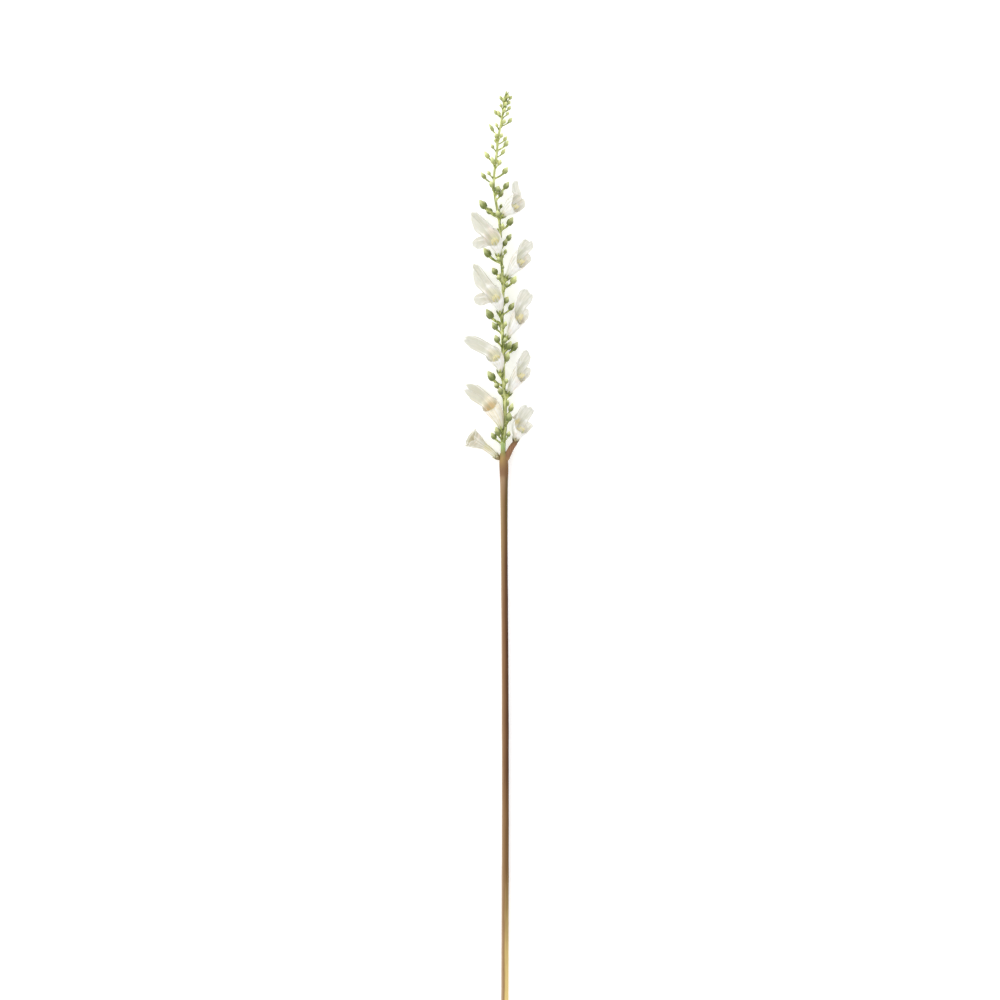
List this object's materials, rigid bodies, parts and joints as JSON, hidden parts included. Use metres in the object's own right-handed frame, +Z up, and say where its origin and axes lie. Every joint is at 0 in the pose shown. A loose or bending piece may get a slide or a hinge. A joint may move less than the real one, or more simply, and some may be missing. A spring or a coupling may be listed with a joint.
{
  "type": "foxglove flower spike",
  "caption": "Cut flower spike lying on its side: long bare brown stem, thin green axis with buds on all sides, and white two-lipped tubular flowers in two ranks.",
  "frame": {"origin": "On the surface that the spike lies on, below the middle of its bounding box.", "axes": "+Y runs along the stem from the cut end to the tip of the spike, +X is the side of the right rank of flowers, +Z is up from the surface."},
  "size_m": [0.0717, 0.94, 0.0268],
  "materials": {
    "stem_brown": "satin",
    "spike_green": "satin",
    "petal_cream": "matte"
  },
  "bodies": {
    "root": {"stem": "stem_brown", "spike_axis": "spike_green", "corolla_left_1": "petal_cream", "corolla_left_2": "petal_cream", "corolla_left_3": "petal_cream", "corolla_left_4": "petal_cream", "corolla_left_5": "petal_cream", "corolla_right_1": "petal_cream", "corolla_right_2": "petal_cream", "corolla_right_3": "petal_cream", "corolla_right_4": "petal_cream", "corolla_right_5": "petal_cream"}
  },
  "joints": []
}
